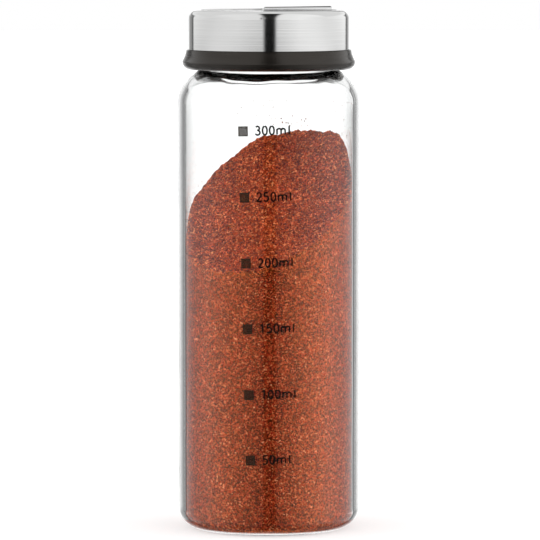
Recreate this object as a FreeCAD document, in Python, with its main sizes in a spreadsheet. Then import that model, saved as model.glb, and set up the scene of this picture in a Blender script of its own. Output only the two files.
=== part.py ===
import FreeCAD, Part
import math
import os
import Sketcher
from FreeCAD import Placement, Rotation, Vector

# Spice shaker jar: a clear glass jar of ground red spice under a steel and black plastic shaker cap.
# Millimetres, +Z up. The origin is the centre of the base, on the surface the jar stands on.
# A sheet-metal disc on top of the cap turns about the jar's axis. Its fan-shaped window stands over
# closed plate at rest, over the sprinkle holes after a quarter turn, and over the pouring opening
# after half a turn.

doc = FreeCAD.newDocument("spice_shaker_jar")

# ---------------------------------------------------------------- driving dimensions

SIZES = [
    # glass jar: one wall thickness at the sides, and a thinner floor
    ("body_radius", 30.0),
    ("wall", 2.45),
    ("floor", 1.6),
    ("heel_radius", 6.8),
    ("punt_radius", 18.0),
    ("punt_depth", 0.5),
    ("shoulder_radius", 12.0),
    ("shoulder_level", 140.65),
    ("neck_radius", 23.2),
    ("neck_blend", 1.0),
    ("rim_level", 168.2),
    # ground spice, whose surface lies at a slant because the jar was tilted last
    ("spice_level", 108.6),
    ("spice_slope", 0.813),
    ("spice_heading", 62.7),
    ("spice_relief", 0.7),
    ("spice_limit", 138.0),
    # screw collar
    ("collar_level", 151.95),
    ("collar_lip_radius", 28.45),
    ("collar_lip_round", 2.4),
    ("collar_lip_level", 154.6),
    ("collar_top_radius", 27.2),
    ("collar_flare_radius", 9.0),
    ("collar_lead", 1.3),
    ("thread_clearance", 0.1),
    ("mouth_radius", 19.5),
    ("collar_crown_round", 2.4),
    # steel shell
    ("shell_radius", 26.6),
    ("shell_level", 158.3),
    ("shell_top", 171.4),
    ("shell_round", 2.6),
    ("sheet", 0.5),
    ("recess_radius", 22.6),
    ("recess_depth", 1.1),
    ("shell_hem", 0.2),
    # openings in the plate at the bottom of the shell's recess
    ("sprinkle_radius", 1.2),
    ("sprinkle_pitch", 4.1),
    ("sprinkle_first_ring", 8.2),
    ("sprinkle_heading", -47.0),
    ("pour_start", -0.1),
    ("pour_side", 4.6),
    ("pour_radius", 18.4),
    ("pour_end_angle", -84.0),
    # turning disc; it and the plate's openings are drawn square to X and then turned by lid_heading
    ("lid_heading", 20.0),
    ("disc_radius", 22.2),
    ("disc_lift", 0.15),
    ("window_start", -2.2),
    ("window_fold", 3.4),
    ("window_radius", 20.9),
    ("window_end_angle", -86.0),
    ("fan_corner", 1.5),
    ("disc_edge", 0.15),
    ("lip_start", -2.8),
    ("lip_end", 20.9),
    ("lip_low", 1.5),
    ("lip_high", 1.6),
    ("lip_corner", 0.6),
    ("lip_bend", 0.4),
    # rivet that the disc turns on
    ("rivet_radius", 1.5),
    ("rivet_clearance", 0.08),
    ("rivet_head_radius", 2.5),
    ("rivet_head", 0.55),
    ("rivet_lift", 0.1),
    ("rivet_tail_radius", 2.3),
    ("rivet_tail", 0.6),
    ("rivet_round", 0.4),
]

sheet = doc.addObject("Spreadsheet::Sheet", "Sizes")
for row, (alias, value) in enumerate(SIZES, start=1):
    sheet.set(f"A{row}", alias)
    sheet.set(f"B{row}", str(value))
    sheet.setAlias(f"B{row}", alias)
doc.recompute()

# Holes on each sprinkle ring, from the inside out.
SPRINKLE_COUNTS = (2, 3, 4)

# Long waves on the spice's slope: share of the relief, then radians a millimetre down the slope
# and across it, and the angle each wave starts at.
SPICE_WAVES = ((1.0, 0.21, 0.0, 0.6), (0.6, 0.17, 0.37, 1.9), (0.5, -0.23, 0.29, 1.57))

# Places where the spice banks up against the wall, or dips: x, y, rise and spread.
SPICE_BANKS = ((25.5, 11.5, 3.2, 5.5), (-26.8, 7.0, 3.3, 5.0), (8.0, 26.0, -1.0, 5.5))

# Grid that the spice's surface is drawn through: spare width round the jar, and steps across it.
HEAP_MARGIN = 4.0
HEAP_STEPS = 20

NAMES = [alias for alias, _ in SIZES]


def bound(text):
    """The expression with each size's name given its place in the sheet."""
    words = []
    for word in text.replace("(", " ( ").replace(")", " ) ").split():
        words.append("Sizes." + word if word in NAMES else word)
    return " ".join(words)


def size(name):
    """The number that the sheet holds under this name."""
    return float(sheet.get(name))


# ---------------------------------------------------------------- drawing helpers


def new_body(label):
    body = doc.addObject("PartDesign::Body", label)
    body.Label = label
    return body


def new_sketch(body, name, plane, level=None, turn=0):
    """A sketch on one of the body's own origin planes.

    The level is its distance along the plane's normal, and the turn is about that normal.
    """
    sketch = body.newObject("Sketcher::SketchObject", name)
    support = next(f for f in body.Origin.OriginFeatures if f.Role == plane)
    sketch.AttachmentSupport = [(support, "")]
    sketch.MapMode = "FlatFace"
    sketch.AttachmentOffset = Placement(Vector(0, 0, 0), Rotation(Vector(0, 0, 1), turn))
    if level:
        sketch.setExpression("AttachmentOffset.Base.z", bound(level))
    return sketch


def hold(sketch, name, constraint, expression):
    """Adds a dimension to a sketch and binds it to the sheet."""
    index = sketch.addConstraint(constraint)
    sketch.renameConstraint(index, name)
    sketch.setExpression("Constraints." + name, bound(expression))


def worked_out(sketch, expression):
    found = sketch.evalExpression(bound(expression))
    return float(getattr(found, "Value", found))


def hold_point(sketch, name, element, end, across, up):
    """Fixes one end of an element by its distances from the sketch's origin."""
    for axis, kind, expression in ((-2, "DistanceX", across), (-1, "DistanceY", up)):
        value = worked_out(sketch, expression)
        if abs(value) < 1e-9:
            sketch.addConstraint(Sketcher.Constraint("PointOnObject", element, end, axis))
        else:
            constraint = Sketcher.Constraint(kind, -1, 1, element, end, value)
            hold(sketch, name + kind[-1].lower(), constraint, expression)


def polygon(sketch, corners, hollow=None, hollow_radius=None):
    """A closed outline of straight lines. Each corner is a pair of expressions.

    The side that leaves corner number hollow upwards is an arc instead, which curves in
    towards the axis.
    """
    points = [Vector(worked_out(sketch, a), worked_out(sketch, b), 0) for a, b in corners]
    count = len(points)
    ends = [(1, 2)] * count
    for i in range(count):
        start, end = points[i], points[(i + 1) % count]
        if i == hollow:
            half = (end - start) * 0.5
            radius = worked_out(sketch, hollow_radius)
            reach = math.sqrt(radius**2 - half.Length**2) / half.Length
            centre = start + half + Vector(half.y, -half.x, 0) * reach
            angles = [math.degrees(math.atan2(p.y - centre.y, p.x - centre.x)) for p in (end, start)]
            arc(sketch, centre, radius, angles[0], angles[1] % 360)
            ends[i] = (2, 1)
        else:
            sketch.addGeometry(Part.LineSegment(start, end), False)
    for i in range(count):
        after = (i + 1) % count
        joint = Sketcher.Constraint("Coincident", i, ends[i][1], after, ends[after][0])
        sketch.addConstraint(joint)
    for i, (across, up) in enumerate(corners):
        hold_point(sketch, f"corner{i}", i, ends[i][0], across, up)
    if hollow is not None:
        constraint = Sketcher.Constraint("Radius", hollow, worked_out(sketch, hollow_radius))
        hold(sketch, "hollow", constraint, hollow_radius)


def arc(sketch, centre, radius, start, end):
    """Adds an arc that runs anticlockwise from one direction to another, in degrees."""
    circle = Part.Circle(Vector(centre[0], centre[1], 0), Vector(0, 0, 1), radius)
    curve = Part.ArcOfCircle(circle, math.radians(start), math.radians(end))
    return sketch.addGeometry(curve, False)


def line(sketch, start, end):
    return sketch.addGeometry(Part.LineSegment(Vector(*start, 0), Vector(*end, 0)), False)


def revolve(body, sketch, name):
    """Turns a sketch on the XZ plane once round the Z axis."""
    sketch.Visibility = False
    turned = body.newObject("PartDesign::Revolution", name)
    turned.Profile = sketch
    turned.ReferenceAxis = (sketch, ["V_Axis"])
    turned.Angle = 360.0
    doc.recompute()
    return turned


def cut_through(body, sketch, name, depth):
    """Pockets a horizontal sketch downwards."""
    pocket = body.newObject("PartDesign::Pocket", name)
    pocket.Profile = sketch
    pocket.setExpression("Length", bound(depth))
    doc.recompute()
    return pocket


def turn_to_heading(body):
    """Turns a finished lid part about the jar's axis, to the heading that the lid is set to."""
    body.Placement = Placement(Vector(0, 0, 0), Rotation(Vector(0, 0, 1), size("lid_heading")))
    body.setExpression("Placement.Rotation.Angle", "Sizes.lid_heading * 1 deg")
    doc.recompute()


def ring_edges(feature, radius, level):
    """Names of the feature's circular edges of this radius at this level."""
    found = []
    for i, edge in enumerate(feature.Shape.Edges, start=1):
        curve = edge.Curve
        if isinstance(curve, Part.Circle) and abs(curve.Radius - radius) < 1e-3:
            if abs(curve.Center.z - level) < 1e-3 and abs(curve.Axis.z) > 0.99:
                found.append(f"Edge{i}")
    return found


def round_edges(body, feature, edges, name, radius):
    fillet = body.newObject("PartDesign::Fillet", name)
    fillet.Base = (feature, edges)
    fillet.setExpression("Radius", bound(radius))
    doc.recompute()
    return fillet


# ---------------------------------------------------------------- glass jar


def draw_glass(sketch):
    """Half section of the jar's wall, from the thin floor up to the fired rim.

    The shoulder's and neck's inside arcs share the outside arcs' centres, so the wall keeps its
    thickness there. Every arc runs smoothly into its neighbours.
    """
    wall, ground = size("wall"), size("floor")
    outer = size("body_radius")
    heel = size("heel_radius")
    shoulder = size("shoulder_radius")
    neck = size("neck_radius")
    blend = size("neck_blend")
    rim = size("rim_level") - wall / 2
    hub = (outer - shoulder, size("shoulder_level"))
    throat_x = neck + blend
    reach = shoulder + blend
    throat = (throat_x, hub[1] + math.sqrt(reach**2 - (throat_x - hub[0]) ** 2))
    lean = math.degrees(math.atan2(throat[1] - hub[1], throat[0] - hub[0]))
    depth, spread = size("punt_depth"), size("punt_radius")
    punt = (spread**2 + depth**2) / (2 * depth)
    edge = math.degrees(math.asin(spread / punt))

    punt_arc = arc(sketch, (0, depth - punt), punt, 90 - edge, 90)
    base = line(sketch, (spread, 0), (outer - heel, 0))
    heel_arc = arc(sketch, (outer - heel, heel), heel, -90, 0)
    side = line(sketch, (outer, heel), (outer, hub[1]))
    shoulder_arc = arc(sketch, hub, shoulder, 0, lean)
    neck_arc = arc(sketch, throat, blend, 180, 180 + lean)
    neck_side = line(sketch, (neck, throat[1]), (neck, rim))
    rim_arc = arc(sketch, (neck - wall / 2, rim), wall / 2, 0, 180)
    bore = line(sketch, (neck - wall, rim), (neck - wall, throat[1]))
    bore_arc = arc(sketch, throat, blend + wall, 180, 180 + lean)
    vault_arc = arc(sketch, hub, shoulder - wall, 0, lean)
    bowl_hub = (outer - heel, ground + heel - wall)
    inside = line(sketch, (outer - wall, hub[1]), (outer - wall, bowl_hub[1]))
    bowl_arc = arc(sketch, bowl_hub, heel - wall, -90, 0)
    floor = line(sketch, (outer - heel, ground), (0, ground))
    axis = line(sketch, (0, ground), (0, depth))

    start, end, centre = 1, 2, 3
    smooth = [
        (base, end, heel_arc, start),
        (heel_arc, end, side, start),
        (side, end, shoulder_arc, start),
        (shoulder_arc, end, neck_arc, end),
        (neck_arc, start, neck_side, start),
        (neck_side, end, rim_arc, start),
        (rim_arc, end, bore, start),
        (bore, end, bore_arc, start),
        (bore_arc, end, vault_arc, end),
        (vault_arc, start, inside, start),
        (inside, end, bowl_arc, end),
        (bowl_arc, start, floor, start),
    ]
    for joint in smooth:
        sketch.addConstraint(Sketcher.Constraint("Tangent", *joint))
    meet = [
        (punt_arc, start, base, start),
        (floor, end, axis, start),
        (axis, end, punt_arc, end),
        (bore_arc, centre, neck_arc, centre),
        (vault_arc, centre, shoulder_arc, centre),
    ]
    for joint in meet:
        sketch.addConstraint(Sketcher.Constraint("Coincident", *joint))
    sketch.addConstraint(Sketcher.Constraint("Vertical", bowl_arc, centre, heel_arc, centre))
    for upright in (side, neck_side):
        sketch.addConstraint(Sketcher.Constraint("Vertical", upright))
    for level in (base, floor):
        sketch.addConstraint(Sketcher.Constraint("Horizontal", level))
    sketch.addConstraint(Sketcher.Constraint("PointOnObject", punt_arc, centre, -2))
    sketch.addConstraint(Sketcher.Constraint("PointOnObject", base, start, -1))
    sketch.addConstraint(Sketcher.Constraint("PointOnObject", punt_arc, end, -2))
    sketch.addConstraint(Sketcher.Constraint("PointOnObject", floor, end, -2))

    across, up, reach = "DistanceX", "DistanceY", "Radius"
    dimensions = [
        ("punt_width", across, (-1, 1, punt_arc, start), spread, "punt_radius"),
        ("punt_rise", up, (-1, 1, punt_arc, end), depth, "punt_depth"),
        ("heel", reach, (heel_arc,), heel, "heel_radius"),
        ("outside", across, (-1, 1, side, end), outer, "body_radius"),
        ("shoulder", reach, (shoulder_arc,), shoulder, "shoulder_radius"),
        ("shoulder_up", up, (-1, 1, side, end), hub[1], "shoulder_level"),
        ("neck", across, (-1, 1, neck_side, end), neck, "neck_radius"),
        ("blend", reach, (neck_arc,), blend, "neck_blend"),
        ("rim_up", up, (-1, 1, neck_side, end), rim, "rim_level - wall / 2"),
        ("inside", across, (-1, 1, inside, start), outer - wall, "body_radius - wall"),
        ("floor_up", up, (-1, 1, floor, end), ground, "floor"),
    ]
    for name, kind, elements, value, expression in dimensions:
        hold(sketch, name, Sketcher.Constraint(kind, *elements, value), expression)


def make_glass_jar():
    body = new_body("glass_jar")
    sketch = new_sketch(body, "glass_wall", "XZ_Plane")
    draw_glass(sketch)
    revolve(body, sketch, "glass_blank")
    return body


# ---------------------------------------------------------------- ground spice


def heap_height(x, y):
    """Height of the spice's surface: a slanting plane with long waves, banked up at the wall."""
    heading = math.radians(size("spice_heading"))
    along = x * math.cos(heading) + y * math.sin(heading)
    aside = -x * math.sin(heading) + y * math.cos(heading)
    waves = 0.0
    for share, down, across, start in SPICE_WAVES:
        waves += share * math.sin(down * along + across * aside + start)
    banks = 0.0
    for middle_x, middle_y, rise, spread in SPICE_BANKS:
        apart = math.hypot(x - middle_x, y - middle_y)
        banks += rise * math.exp(-((apart / spread) ** 2) / 2)
    slant = size("spice_level") + size("spice_slope") * along
    return slant + size("spice_relief") * waves / 2 + banks


def make_spice_powder():
    """Spice fills the jar from floor to wall, up to its slanting, uneven surface."""
    body = new_body("spice_fill")
    sketch = new_sketch(body, "spice_section", "XZ_Plane")
    outer = size("body_radius") - size("wall")
    floor = size("floor")
    bowl = size("heel_radius") - size("wall")
    limit = size("spice_limit")
    bottom = line(sketch, (0, floor), (outer - bowl, floor))
    corner = arc(sketch, (outer - bowl, floor + bowl), bowl, -90, 0)
    side = line(sketch, (outer, floor + bowl), (outer, limit))
    top = line(sketch, (outer, limit), (0, limit))
    axis = line(sketch, (0, limit), (0, floor))
    for joint in ((bottom, 2, corner, 1), (corner, 2, side, 1)):
        sketch.addConstraint(Sketcher.Constraint("Tangent", *joint))
    for joint in ((side, 2, top, 1), (top, 2, axis, 1), (axis, 2, bottom, 1)):
        sketch.addConstraint(Sketcher.Constraint("Coincident", *joint))
    for level in (bottom, top):
        sketch.addConstraint(Sketcher.Constraint("Horizontal", level))
    for upright in (side, axis):
        sketch.addConstraint(Sketcher.Constraint("Vertical", upright))
    sketch.addConstraint(Sketcher.Constraint("PointOnObject", axis, 1, -2))
    rounding = Sketcher.Constraint("Radius", corner, bowl)
    hold(sketch, "bowl", rounding, "heel_radius - wall")
    width = Sketcher.Constraint("DistanceX", -1, 1, side, 1, outer)
    hold(sketch, "inside", width, "body_radius - wall")
    lift = Sketcher.Constraint("DistanceY", -1, 1, bottom, 1, floor)
    hold(sketch, "floor", lift, "floor")
    height = Sketcher.Constraint("DistanceY", -1, 1, side, 2, limit)
    hold(sketch, "limit", height, "spice_limit")
    revolve(body, sketch, "spice_column")

    # The space under the slanting surface, wider than the jar, as one closed solid.
    reach = size("body_radius") + HEAP_MARGIN
    ticks = [reach * (2 * i / HEAP_STEPS - 1) for i in range(HEAP_STEPS + 1)]
    grid = [[Vector(x, y, heap_height(x, y)) for y in ticks] for x in ticks]
    surface = Part.BSplineSurface()
    surface.interpolate(grid)
    face = surface.toShape()
    block = face.extrude(Vector(0, 0, -size("rim_level")))
    mould = doc.addObject("Part::Feature", "heap_mould")
    mould.Shape = block

    spice = doc.addObject("Part::Common", "spice_powder")
    spice.Base = body
    spice.Tool = mould
    spice.Label = "spice_powder"
    doc.recompute()
    return spice


# ---------------------------------------------------------------- screw collar


def make_screw_collar():
    """Black plastic collar: a flared, rounded skirt below the shell and a threaded sleeve inside it."""
    body = new_body("screw_collar")
    sketch = new_sketch(body, "collar_section", "XZ_Plane")
    bore = "neck_radius + thread_clearance"
    sleeve = "shell_radius - sheet"
    plate = "shell_top - recess_depth - sheet"
    polygon(
        sketch,
        [
            (bore + " + collar_lead", "collar_level"),
            ("collar_lip_radius", "collar_level"),
            ("collar_lip_radius", "collar_lip_level"),
            ("collar_top_radius", "shell_level"),
            (sleeve, "shell_level"),
            (sleeve, plate),
            ("mouth_radius", plate),
            ("mouth_radius", "rim_level"),
            (bore, "rim_level"),
            (bore, "collar_level + collar_lead"),
        ],
        hollow=2,
        hollow_radius="collar_flare_radius",
    )
    blank = revolve(body, sketch, "collar_blank")
    foot = ring_edges(blank, size("collar_lip_radius"), size("collar_level"))
    lip = round_edges(body, blank, foot, "collar_lip", "collar_lip_round")
    crown_radius = size("shell_radius") - size("sheet")
    crown_level = size("shell_top") - size("recess_depth") - size("sheet")
    crown = ring_edges(lip, crown_radius, crown_level)
    round_edges(body, lip, crown, "collar_crown", "collar_crown_round")
    return body


# ---------------------------------------------------------------- steel shell


def make_steel_shell():
    """Drawn steel shell: upright skirt, rolled shoulder, and a sunk plate with the openings."""
    body = new_body("steel_shell")
    sketch = new_sketch(body, "shell_section", "XZ_Plane")
    plate = "shell_top - recess_depth"
    polygon(
        sketch,
        [
            ("rivet_radius", plate),
            ("rivet_radius", plate + " - sheet"),
            ("recess_radius + sheet", plate + " - sheet"),
            ("recess_radius + sheet", "shell_top - sheet"),
            ("shell_radius - sheet", "shell_top - sheet"),
            ("shell_radius - sheet", "shell_level"),
            ("shell_radius", "shell_level"),
            ("shell_radius", "shell_top"),
            ("recess_radius", "shell_top"),
            ("recess_radius", plate),
        ],
    )
    blank = revolve(body, sketch, "shell_blank")
    inner = size("shell_radius") - size("sheet")
    inside = ring_edges(blank, inner, size("shell_top") - size("sheet"))
    vault = round_edges(body, blank, inside, "shell_inner_round", "shell_round - sheet")
    outside = ring_edges(vault, size("shell_radius"), size("shell_top"))
    shoulder = round_edges(body, vault, outside, "shell_outer_round", "shell_round")
    brim = ring_edges(shoulder, size("recess_radius"), size("shell_top"))
    brim += ring_edges(shoulder, size("shell_radius"), size("shell_level"))
    round_edges(body, shoulder, brim, "shell_hems", "shell_hem")

    # Sprinkle holes: three short arcs of holes, a quarter turn on from the closed place.
    for ring, count in enumerate(SPRINKLE_COUNTS):
        drill_ring(body, ring, count)

    # Pouring opening: one fan, half a turn on from the closed place.
    fan = new_sketch(body, "pour_sketch", "XY_Plane", "shell_top", turn=180)
    draw_fan(fan, "pour_start", "pour_side", "pour_radius", "pour_end_angle")
    pocket = cut_through(body, fan, "pour_opening", "recess_depth + 2 * sheet")
    corners = fan_corners(pocket, size("pour_radius"))
    round_edges(body, pocket, corners, "pour_corners", "fan_corner")
    turn_to_heading(body)
    return body


def drill_ring(body, ring, count):
    """Cuts one hole of a ring and repeats it along the ring, centred on the sprinkle heading."""
    radius = f"( sprinkle_first_ring + {ring} * sprinkle_pitch )"
    step = f"sprinkle_pitch / {radius} * 180 / pi"
    sketch = new_sketch(body, f"sprinkle_sketch_{ring}", "XY_Plane", "shell_top", turn=90)
    start = f"sprinkle_heading - {step} * {(count - 1) / 2}"
    reach = worked_out(sketch, radius)
    heading = math.radians(worked_out(sketch, start))
    spot = Vector(reach * math.cos(heading), reach * math.sin(heading), 0)
    hole = sketch.addGeometry(Part.Circle(spot, Vector(0, 0, 1), size("sprinkle_radius")), False)
    arm = sketch.addGeometry(Part.LineSegment(Vector(0, 0, 0), spot), True)
    sketch.addConstraint(Sketcher.Constraint("Coincident", arm, 1, -1, 1))
    sketch.addConstraint(Sketcher.Constraint("Coincident", arm, 2, hole, 3))
    width = Sketcher.Constraint("Radius", hole, size("sprinkle_radius"))
    hold(sketch, "width", width, "sprinkle_radius")
    hold(sketch, "reach", Sketcher.Constraint("Distance", arm, reach), radius)
    hold(sketch, "heading", Sketcher.Constraint("Angle", arm, heading), f"( {start} ) * 1 deg")
    pocket = cut_through(body, sketch, f"sprinkle_hole_{ring}", "recess_depth + 2 * sheet")
    pattern = body.newObject("PartDesign::PolarPattern", f"sprinkle_ring_{ring}")
    pattern.Originals = [pocket]
    pattern.Axis = (sketch, ["N_Axis"])
    pattern.setExpression("Angle", bound(f"{step} * {count - 1}"))
    pattern.Occurrences = count
    body.Tip = pattern
    doc.recompute()


def draw_fan(sketch, start, side, radius, end_angle):
    """A fan between a side parallel to X, an arc about the axis and a side that closes it.

    The first side runs at a distance of side below the X axis, from start out to the arc. The arc
    ends at end_angle, and the last side runs back from there.
    """
    near, below = worked_out(sketch, start), -worked_out(sketch, side)
    reach = worked_out(sketch, radius)
    last = math.radians(worked_out(sketch, end_angle))
    first = -math.asin(-below / reach)
    out = (reach * math.cos(first), below)
    back = (reach * math.cos(last), reach * math.sin(last))
    fold = line(sketch, (near, below), out)
    sweep = arc(sketch, (0, 0), reach, math.degrees(last), math.degrees(first))
    closing = line(sketch, back, (near, below))
    arm = sketch.addGeometry(Part.LineSegment(Vector(0, 0, 0), Vector(*back, 0)), True)
    meet = [
        (fold, 2, sweep, 2),
        (sweep, 1, closing, 1),
        (closing, 2, fold, 1),
        (sweep, 3, -1, 1),
        (arm, 1, -1, 1),
        (arm, 2, sweep, 1),
    ]
    for joint in meet:
        sketch.addConstraint(Sketcher.Constraint("Coincident", *joint))
    sketch.addConstraint(Sketcher.Constraint("Horizontal", fold))
    hold_point(sketch, "corner", fold, 1, start, f"-1 * {side}")
    hold(sketch, "reach", Sketcher.Constraint("Radius", sweep, reach), radius)
    hold(sketch, "last", Sketcher.Constraint("Angle", arm, last), f"{end_angle} * 1 deg")


def fan_corners(feature, radius):
    """Names of the upright edges at a fan's two corners on its arc."""
    found = []
    for i, edge in enumerate(feature.Shape.Edges, start=1):
        if isinstance(edge.Curve, Part.Line) and abs(edge.Curve.Direction.z) > 0.99:
            middle = edge.CenterOfMass
            if abs(math.hypot(middle.x, middle.y) - radius) < 1e-3:
                found.append(f"Edge{i}")
    return found


# ---------------------------------------------------------------- turning disc


def straight_edges(feature, **place):
    """Names of the straight edges whose middles lie at the places given for x, y or z."""
    found = []
    for i, edge in enumerate(feature.Shape.Edges, start=1):
        if isinstance(edge.Curve, Part.Line):
            middle = edge.CenterOfMass
            if all(abs(getattr(middle, axis) - at) < 1e-3 for axis, at in place.items()):
                found.append(f"Edge{i}")
    return found


def make_shaker_disc():
    """Sheet disc with a fan-shaped window, one side of which is folded up as a thumb lip."""
    body = new_body("shaker_disc")
    under = "shell_top - recess_depth + disc_lift"
    over = under + " + sheet"
    blank = new_sketch(body, "disc_sketch", "XY_Plane", under)
    for name, radius in (("rim", "disc_radius"), ("pivot", "rivet_radius + rivet_clearance")):
        reach = worked_out(blank, radius)
        ring = blank.addGeometry(Part.Circle(Vector(0, 0, 0), Vector(0, 0, 1), reach), False)
        blank.addConstraint(Sketcher.Constraint("Coincident", ring, 3, -1, 1))
        hold(blank, name, Sketcher.Constraint("Radius", ring, reach), radius)
    disc = body.newObject("PartDesign::Pad", "disc_blank")
    disc.Profile = blank
    disc.setExpression("Length", bound("sheet"))
    doc.recompute()
    top = worked_out(blank, over)
    bottom = worked_out(blank, under)
    rim = round_edges(body, disc, ring_edges(disc, size("disc_radius"), top), "disc_rim", "disc_edge")

    fan = new_sketch(body, "window_sketch", "XY_Plane", over + " + sheet")
    draw_fan(fan, "window_start", "window_fold", "window_radius", "window_end_angle")
    window = cut_through(body, fan, "window", "3 * sheet")
    corners = fan_corners(window, size("window_radius"))
    round_edges(body, window, corners, "window_corners", "fan_corner")

    profile = new_sketch(body, "lip_sketch", "XZ_Plane", "window_fold")
    polygon(
        profile,
        [
            ("lip_start", under),
            ("lip_end", under),
            ("lip_end", over + " + lip_high"),
            ("lip_start", over + " + lip_low"),
        ],
    )
    lip = body.newObject("PartDesign::Pad", "lip_blank")
    lip.Profile = profile
    lip.Reversed = True
    lip.setExpression("Length", bound("sheet"))
    doc.recompute()
    fold = -size("window_fold")
    bend = straight_edges(lip, y=fold, z=bottom) + straight_edges(lip, y=fold + size("sheet"), z=top)
    bent = round_edges(body, lip, bend, "lip_bends", "lip_bend")
    ends = straight_edges(bent, x=size("lip_start"), z=top + size("lip_low"))
    ends += straight_edges(bent, x=size("lip_end"), z=top + size("lip_high"))
    round_edges(body, bent, ends, "lip_corners", "lip_corner")
    turn_to_heading(body)
    return body


# ---------------------------------------------------------------- rivet


def make_pivot_rivet():
    """Rivet set in the plate. The disc turns freely between the plate and its head."""
    body = new_body("pivot_rivet")
    sketch = new_sketch(body, "rivet_section", "XZ_Plane")
    plate_under = "shell_top - recess_depth - sheet"
    head_under = "shell_top - recess_depth + disc_lift + sheet + rivet_lift"
    polygon(
        sketch,
        [
            ("0", plate_under + " - rivet_tail"),
            ("rivet_tail_radius", plate_under + " - rivet_tail"),
            ("rivet_tail_radius", plate_under),
            ("rivet_radius", plate_under),
            ("rivet_radius", head_under),
            ("rivet_head_radius", head_under),
            ("rivet_head_radius", head_under + " + rivet_head"),
            ("0", head_under + " + rivet_head"),
        ],
    )
    blank = revolve(body, sketch, "rivet_blank")
    head_top = worked_out(sketch, head_under + " + rivet_head")
    tail_end = worked_out(sketch, plate_under + " - rivet_tail")
    rings = ring_edges(blank, size("rivet_head_radius"), head_top)
    rings += ring_edges(blank, size("rivet_tail_radius"), tail_end)
    round_edges(body, blank, rings, "rivet_rounds", "rivet_round")
    return body


# ---------------------------------------------------------------- checks and files


def check_document():
    """Stops with a message if any object failed to build."""
    for item in doc.Objects:
        if "Invalid" in item.State or "Error" in item.State:
            raise SystemExit(f"{item.Name} failed: {item.State}")


def write_part(part):
    """Checks a sub-part's solid and writes it to its own file."""
    shape = part.Shape
    if shape.isNull() or not shape.isValid() or len(shape.Solids) != 1:
        raise SystemExit(f"{part.Label} isn't one valid solid")
    shape.exportStep(f"parts/{part.Label}.step")
    print(f"{part.Label}: {shape.Volume / 1000:.2f} ml")


def main():
    parts = [
        make_glass_jar(),
        make_spice_powder(),
        make_screw_collar(),
        make_steel_shell(),
        make_shaker_disc(),
        make_pivot_rivet(),
    ]
    doc.recompute()
    check_document()
    os.makedirs("parts", exist_ok=True)
    for part in parts:
        write_part(part)


main()
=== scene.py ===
# %% [markdown]
# # A glass jar of ground spice, with a turning shaker lid
#
# The jar was first made as solid parts in CAD. This lesson dresses those parts: clear glass, a slanting
# fill of ground red spice, a printed volume scale, black plastic and brushed steel. The first step loads
# the solid model, because every later piece takes its place from it. All sizes are in metres.

# %% Load the solid model
import math

import bpy
import numpy as np
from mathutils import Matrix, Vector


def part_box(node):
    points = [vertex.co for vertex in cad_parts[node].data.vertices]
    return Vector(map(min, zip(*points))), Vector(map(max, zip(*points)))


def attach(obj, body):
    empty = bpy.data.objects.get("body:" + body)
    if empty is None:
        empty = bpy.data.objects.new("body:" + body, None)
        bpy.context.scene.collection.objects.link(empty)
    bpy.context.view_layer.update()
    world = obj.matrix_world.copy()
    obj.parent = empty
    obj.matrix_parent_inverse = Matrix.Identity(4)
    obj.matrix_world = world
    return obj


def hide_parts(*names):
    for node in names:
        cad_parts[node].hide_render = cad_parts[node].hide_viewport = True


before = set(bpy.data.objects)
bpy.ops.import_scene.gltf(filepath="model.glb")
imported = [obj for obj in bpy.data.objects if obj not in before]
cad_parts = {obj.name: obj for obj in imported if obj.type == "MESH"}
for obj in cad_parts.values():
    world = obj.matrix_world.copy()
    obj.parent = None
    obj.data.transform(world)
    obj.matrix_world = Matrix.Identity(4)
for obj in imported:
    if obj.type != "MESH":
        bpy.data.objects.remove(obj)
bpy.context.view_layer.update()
_, glass_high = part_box("glass_jar")
_, spice_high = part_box("spice_powder")
MM = 0.001
# a solid's box comes from its facets, so its radii are rounded to the true ones
GLASS_RADIUS = round(glass_high.x, 4)
BORE = round(spice_high.x, 5)
GLASS_TOP = glass_high.z
print("solid parts:", sorted(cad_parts))
print("glass radius %.2f mm, bore %.2f mm" % (GLASS_RADIUS / MM, BORE / MM))

# %% [markdown]
# ## Helpers for surfaces
#
# Almost every new piece here is round, so it is easiest to write it as a grid: one direction goes round
# the axis, the other goes along a section. A grid of points becomes a mesh once each small square of four
# neighbours is listed as a face. Doing that with whole numpy arrays keeps it short and quick.

# %% Turn grids of points into mesh pieces
def grid_faces(rows, columns):
    """Squares between neighbours on a grid whose columns close on themselves."""
    row = np.arange(rows - 1)[:, None] * columns
    column = np.arange(columns)[None, :]
    following = (column + 1) % columns
    corners = (row + column, row + following, row + columns + following, row + columns + column)
    return np.stack(corners, axis=-1).reshape(-1, 4)


def fan_faces(hub, ring, facing_up):
    """Triangles from one hub point to each pair of neighbours on a ring."""
    following = np.roll(ring, -1)
    pair = (ring, following) if facing_up else (following, ring)
    return np.stack((np.full_like(ring, hub), *pair), axis=-1)


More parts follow.
